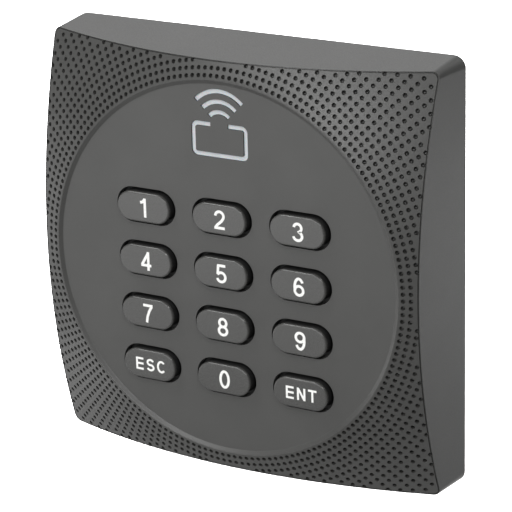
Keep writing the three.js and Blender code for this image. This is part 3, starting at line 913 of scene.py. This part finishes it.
def softened(node, width, slot, material):
    """A copy of a CAD node with its sharp edges rounded by a moulding or stamping radius."""
    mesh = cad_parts[node].data.copy()
    mesh.name = f"{node}_shape"
    shape = bmesh.new()
    shape.from_mesh(mesh)
    bmesh.ops.remove_doubles(shape, verts=shape.verts, dist=1e-7)
    flat = math.radians(0.5)
    bmesh.ops.dissolve_limit(shape, angle_limit=flat, verts=shape.verts, edges=shape.edges)
    limit = math.radians(SHARP_EDGE)
    sharp = [e for e in shape.edges if e.is_manifold and e.calc_face_angle(0) > limit]
    bmesh.ops.bevel(
        shape, geom=sharp, offset=width * MM, segments=2, profile=0.5,
        affect="EDGES", clamp_overlap=True,
    )
    shape.to_mesh(mesh)
    shape.free()
    piece = bpy.data.objects.new(f"{node}_shape", mesh)
    bpy.context.scene.collection.objects.link(piece)
    shade(piece, 22)
    for face in mesh.polygons:
        face.use_smooth = face.area < LARGEST_ROUNDED_FACE * MM * MM
    return finish_piece(piece, "reader", slot, material, node)


def build_back(materials):
    """The parts seen from behind, with softened edges."""
    softened("rear_cover", 0.2, "rear_plastic", materials["rear"])
    softened("wall_plate", 0.15, "zinc_steel", materials["steel"])
    softened("cable_grommet", 0.2, "black_rubber", materials["rubber"])
    for screw in ("security_screw", *(f"rear_screw_{i}" for i in range(1, 5))):
        softened(screw, 0.1, "zinc_steel", materials["steel"])


def dress_frame_nodes(materials):
    """CAD nodes whose shape is already right get their finish."""
    nodes_by_finish = {
        "rubber": ["seal_gasket", "keypad_mat"],
        "board": ["circuit_board"],
        "coil": ["antenna_coil"],
        "led": ["symbol_led"],
        "chip": ["controller_chip", "reader_chip", "buzzer", "tamper_sensor"],
        "connector": ["terminal_header"],
        "steel": [f"board_screw_{i}" for i in range(1, 5)],
        "carbon": [f"contact_pill_{label}" for label, _, _ in key_places()],
    }
    for finish, nodes in nodes_by_finish.items():
        for node in nodes:
            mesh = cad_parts[node].data
            mesh.materials.clear()
            mesh.materials.append(materials[finish])


# ---- surroundings -------------------------------------------------------------------------------
READER = (0, -0.01, 0)
# name, place and size in metres, spread in degrees, power in watts, and the point each is aimed at
LIGHTS = (
    ("floor_softbox", (-0.7, 1.15, 1.1), (1.0, 1.0), 70, 26.0, (-0.7, 1.15, 0)),
    ("rear_softbox", (-0.5, 0.8, 0.7), (0.8, 0.8), 100, 0.62, READER),
    ("front_softbox", (-0.05, -0.97, 0.22), (0.28, 0.28), 80, 0.5, READER),
    ("front_high_softbox", (-0.28, -0.83, 0.48), (0.28, 0.28), 80, 0.4, READER),
    ("low_left_softbox", (-0.5, -0.84, -0.2), (0.45, 0.34), 80, 0.23, READER),
    ("left_softbox", (-0.9, -0.3, -0.2), (0.4, 0.35), 80, 0.17, READER),
    ("low_far_left_softbox", (-0.42, -0.15, -0.3), (0.25, 0.12), 80, 0.03, READER),
    ("right_rear_softbox", (0.52, 0.82, -0.3), (0.4, 0.18), 80, 0.082, READER),
    ("behind_softbox", (0.1, 1.2, 0.35), (0.6, 0.6), 60, 0.4, READER),
    ("high_left_softbox", (-0.45, -0.3, 0.75), (0.35, 0.35), 70, 0.66, READER),
    ("high_right_softbox", (0.47, -0.52, 0.6), (0.12, 0.12), 70, 0.42, READER),
)
WORLD_STRENGTH = 0.3
FLOOR_REACH = 4.0
FLOOR_HEIGHT = -0.4


def add_area_light(name, place, size, spread, power, aim):
    data = bpy.data.lights.new(name, "AREA")
    data.shape = "RECTANGLE"
    data.size, data.size_y = size
    data.spread = math.radians(spread)
    data.energy = power
    light = bpy.data.objects.new(name, data)
    light.location = place
    away = Vector(place) - Vector(aim)
    light.rotation_euler = away.to_track_quat("Z", "Y").to_euler()
    light.visible_camera = False
    bpy.context.scene.collection.objects.link(light)


def add_studio():
    """Plain soft light, an even world and a wide pale floor well below the reader."""
    scene = bpy.context.scene
    scene.view_settings.view_transform = "Standard"
    scene.world = bpy.data.worlds.new("studio")
    scene.world.use_nodes = True
    backdrop = scene.world.node_tree.nodes["Background"]
    backdrop.inputs["Color"].default_value = (1, 1, 1, 1)
    backdrop.inputs["Strength"].default_value = WORLD_STRENGTH
    for light in LIGHTS:
        add_area_light(*light)
    corners = [(sx * FLOOR_REACH, sy * FLOOR_REACH, FLOOR_HEIGHT) for sx, sy in SIGNS]
    mesh = bpy.data.meshes.new("studio_floor")
    mesh.from_pydata(corners, [], [(0, 1, 2, 3)])
    floor = bpy.data.objects.new("studio_floor", mesh)
    scene.collection.objects.link(floor)
    mesh.materials.append(moulded("studio_paper", (0.86, 0.86, 0.86), 0.9, 2.0, 0.05, 0.01))


add_camera()
all_materials = make_materials()
add_studio()
build_front_cover(all_materials)
build_symbol(all_materials)
build_keys(all_materials)
build_back(all_materials)
dress_frame_nodes(all_materials)
